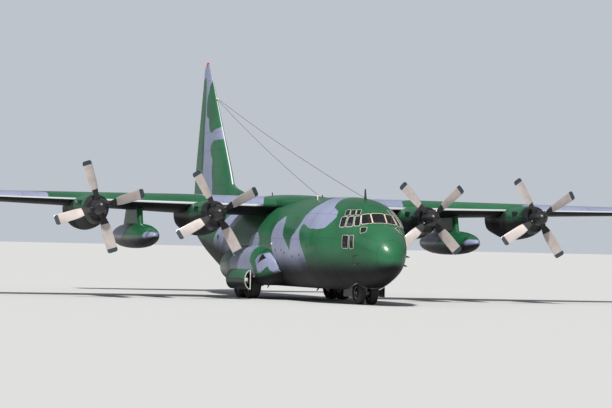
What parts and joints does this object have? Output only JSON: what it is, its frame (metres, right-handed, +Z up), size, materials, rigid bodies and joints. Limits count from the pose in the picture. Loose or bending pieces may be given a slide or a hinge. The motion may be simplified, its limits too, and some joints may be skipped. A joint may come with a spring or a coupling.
{
  "type": "military transport plane, half-scale model",
  "caption": "High-winged propeller transport plane with a hollow hold, rear loading ramp, wing tanks and wheeled gear, parked; half-scale model.",
  "frame": {"origin": "on the ground, under the middle of the aeroplane's box", "axes": "+X to the port wing tip, -Y to the nose, +Z up"},
  "size_m": [20.205, 14.895, 5.83],
  "materials": {
    "green_paint": "semi-matt camouflage green, worn at edges",
    "grey_paint": "semi-matt camouflage lavender grey",
    "white_paint": "gloss white, dusty",
    "blade_paint": "warm grey blades with dark tips",
    "bright_steel": "ground steel",
    "floor_metal": "worn grey floor plates",
    "cockpit_trim": "matt dark trim",
    "window_glass": "dark tinted, glossy",
    "tyre": "matt black rubber"
  },
  "bodies": {
    "airframe": {"nose_radome": "green_paint", "cockpit_shell": "green_paint", "cockpit_glazing": "window_glass", "flight_deck": "cockpit_trim", "nose_wheel_well": "white_paint", "barrel_shell": "green_paint", "cargo_floor": "floor_metal", "aft_shell": "green_paint", "tail_cone": "green_paint", "wing_root_fairing": "green_paint", "wing_centre": "grey_paint", "wing_outer_port": "grey_paint", "wing_outer_starboard": "grey_paint", "fin": "green_paint", "tailplane_port": "green_paint", "tailplane_starboard": "green_paint", "paratroop_door_port": "green_paint", "paratroop_door_starboard": "green_paint", "sponson_port": "grey_paint", "sponson_starboard": "grey_paint", "main_gear_door_port": "green_paint", "main_gear_door_starboard": "green_paint", "main_leg_port_front": "white_paint", "main_leg_port_rear": "white_paint", "main_leg_starboard_front": "white_paint", "main_leg_starboard_rear": "white_paint", "nose_leg": "white_paint", "nose_gear_door_port": "green_paint", "nose_gear_door_starboard": "green_paint", "tank_port": "grey_paint", "tank_starboard": "grey_paint", "tank_pylon_port": "green_paint", "tank_pylon_starboard": "green_paint", "nacelle_port_outer": "green_paint", "nacelle_port_inner": "green_paint", "nacelle_starboard_inner": "green_paint", "nacelle_starboard_outer": "green_paint"},
    "nose_steering": {"nose_fork": "bright_steel"},
    "nose_wheels": {"nose_wheel_port": "tyre", "nose_wheel_starboard": "tyre"},
    "wheel_port_front": {"main_wheel_port_front": "tyre"},
    "wheel_port_rear": {"main_wheel_port_rear": "tyre"},
    "wheel_starboard_front": {"main_wheel_starboard_front": "tyre"},
    "wheel_starboard_rear": {"main_wheel_starboard_rear": "tyre"},
    "prop_port_outer": {"propeller_port_outer": "blade_paint"},
    "prop_port_inner": {"propeller_port_inner": "blade_paint"},
    "prop_starboard_inner": {"propeller_starboard_inner": "blade_paint"},
    "prop_starboard_outer": {"propeller_starboard_outer": "blade_paint"},
    "inner_flap_port": {"flap_inner_port": "grey_paint"},
    "inner_flap_starboard": {"flap_inner_starboard": "grey_paint"},
    "outer_flap_port": {"flap_outer_port": "grey_paint"},
    "outer_flap_starboard": {"flap_outer_starboard": "grey_paint"},
    "port_aileron": {"aileron_port": "grey_paint"},
    "starboard_aileron": {"aileron_starboard": "grey_paint"},
    "elevators": {"elevator_port": "green_paint", "elevator_starboard": "green_paint"},
    "rudder_body": {"rudder": "green_paint"},
    "crew_door_body": {"crew_door": "green_paint"},
    "ramp_body": {"cargo_ramp": "grey_paint"},
    "aft_door_body": {"aft_cargo_door": "grey_paint"}
  },
  "joints": [
    {"name": "nose_steer", "type": "hinge", "parent": "airframe", "child": "nose_steering", "pos_m": [0, -5.7475, 0.49], "axis": [0, 0, 1], "range_deg": [-60, 60]},
    {"name": "nose_wheels_spin", "type": "hinge", "parent": "nose_steering", "child": "nose_wheels", "pos_m": [0, -5.7475, 0.2475], "axis": [1, 0, 0], "continuous": true},
    {"name": "wheel_port_front_spin", "type": "hinge", "parent": "airframe", "child": "wheel_port_front", "pos_m": [1.0875, -1.2375, 0.3555], "axis": [1, 0, 0], "continuous": true},
    {"name": "wheel_port_rear_spin", "type": "hinge", "parent": "airframe", "child": "wheel_port_rear", "pos_m": [1.0875, -0.4775, 0.3555], "axis": [1, 0, 0], "continuous": true},
    {"name": "wheel_starboard_front_spin", "type": "hinge", "parent": "airframe", "child": "wheel_starboard_front", "pos_m": [-1.0875, -1.2375, 0.3555], "axis": [1, 0, 0], "continuous": true},
    {"name": "wheel_starboard_rear_spin", "type": "hinge", "parent": "airframe", "child": "wheel_starboard_rear", "pos_m": [-1.0875, -0.4775, 0.3555], "axis": [1, 0, 0], "continuous": true},
    {"name": "prop_port_outer_spin", "type": "hinge", "parent": "airframe", "child": "prop_port_outer", "pos_m": [5.15, -3.0725, 1.965], "axis": [0, 1, 0], "continuous": true},
    {"name": "prop_port_inner_spin", "type": "hinge", "parent": "airframe", "child": "prop_port_inner", "pos_m": [2.5, -3.0725, 1.895], "axis": [0, 1, 0], "continuous": true},
    {"name": "prop_starboard_inner_spin", "type": "hinge", "parent": "airframe", "child": "prop_starboard_inner", "pos_m": [-2.5, -3.0725, 1.895], "axis": [0, 1, 0], "continuous": true},
    {"name": "prop_starboard_outer_spin", "type": "hinge", "parent": "airframe", "child": "prop_starboard_outer", "pos_m": [-5.15, -3.0725, 1.965], "axis": [0, 1, 0], "continuous": true},
    {"name": "flap_inner_port_down", "type": "hinge", "parent": "airframe", "child": "inner_flap_port", "pos_m": [0.875, 0.05854, 2.05418], "axis": [-1, 0, -0.0054], "range_deg": [0, 36]},
    {"name": "flap_inner_starboard_down", "type": "hinge", "parent": "airframe", "child": "inner_flap_starboard", "pos_m": [-0.875, 0.05854, 2.05418], "axis": [-1, 0, 0.0054], "range_deg": [0, 36]},
    {"name": "flap_outer_port_down", "type": "hinge", "parent": "airframe", "child": "outer_flap_port", "pos_m": [2.875, 0.05276, 2.06647], "axis": [-0.9967, 0.0771, -0.0237], "range_deg": [0, 36]},
    {"name": "flap_outer_starboard_down", "type": "hinge", "parent": "airframe", "child": "outer_flap_starboard", "pos_m": [-2.875, 0.05276, 2.06647], "axis": [-0.9967, -0.0771, 0.0237], "range_deg": [0, 36]},
    {"name": "aileron_port_up", "type": "hinge", "parent": "airframe", "child": "port_aileron", "pos_m": [6.2, -0.14798, 2.1417], "axis": [0.9964, -0.0822, 0.0187], "range_deg": [-20, 20]},
    {"name": "aileron_starboard_up", "type": "hinge", "parent": "airframe", "child": "starboard_aileron", "pos_m": [-6.2, -0.14798, 2.1417], "axis": [0.9964, 0.0822, -0.0187], "range_deg": [-20, 20]},
    {"name": "elevator_up", "type": "hinge", "parent": "airframe", "child": "elevators", "pos_m": [0, 6.5275, 2.325], "axis": [1, 0, 0], "range_deg": [-15, 40]},
    {"name": "rudder_turn", "type": "hinge", "parent": "airframe", "child": "rudder_body", "pos_m": [0, 6.6025, 2.5], "axis": [0, -0.0702, 0.9975], "range_deg": [-35, 35]},
    {"name": "crew_door_down", "type": "hinge", "parent": "airframe", "child": "crew_door_body", "pos_m": [0.785, -5.18, 0.565], "axis": [0.185, 0.9827, 0], "range_deg": [0, 118]},
    {"name": "ramp_down", "type": "hinge", "parent": "airframe", "child": "ramp_body", "pos_m": [0, 1.6275, 0.465], "axis": [-1, 0, 0], "range_deg": [0, 32]},
    {"name": "aft_door_up", "type": "hinge", "parent": "airframe", "child": "aft_door_body", "pos_m": [0, 5.32911, 1.70472], "axis": [-1, 0, 0], "range_deg": [0, 24]}
  ],
  "couplings": [
    {"joint": "flap_inner_starboard_down", "follows": "flap_inner_port_down", "ratio": 1},
    {"joint": "flap_outer_port_down", "follows": "flap_inner_port_down", "ratio": 1},
    {"joint": "flap_outer_starboard_down", "follows": "flap_inner_port_down", "ratio": 1},
    {"joint": "aileron_starboard_up", "follows": "aileron_port_up", "ratio": -1}
  ]
}
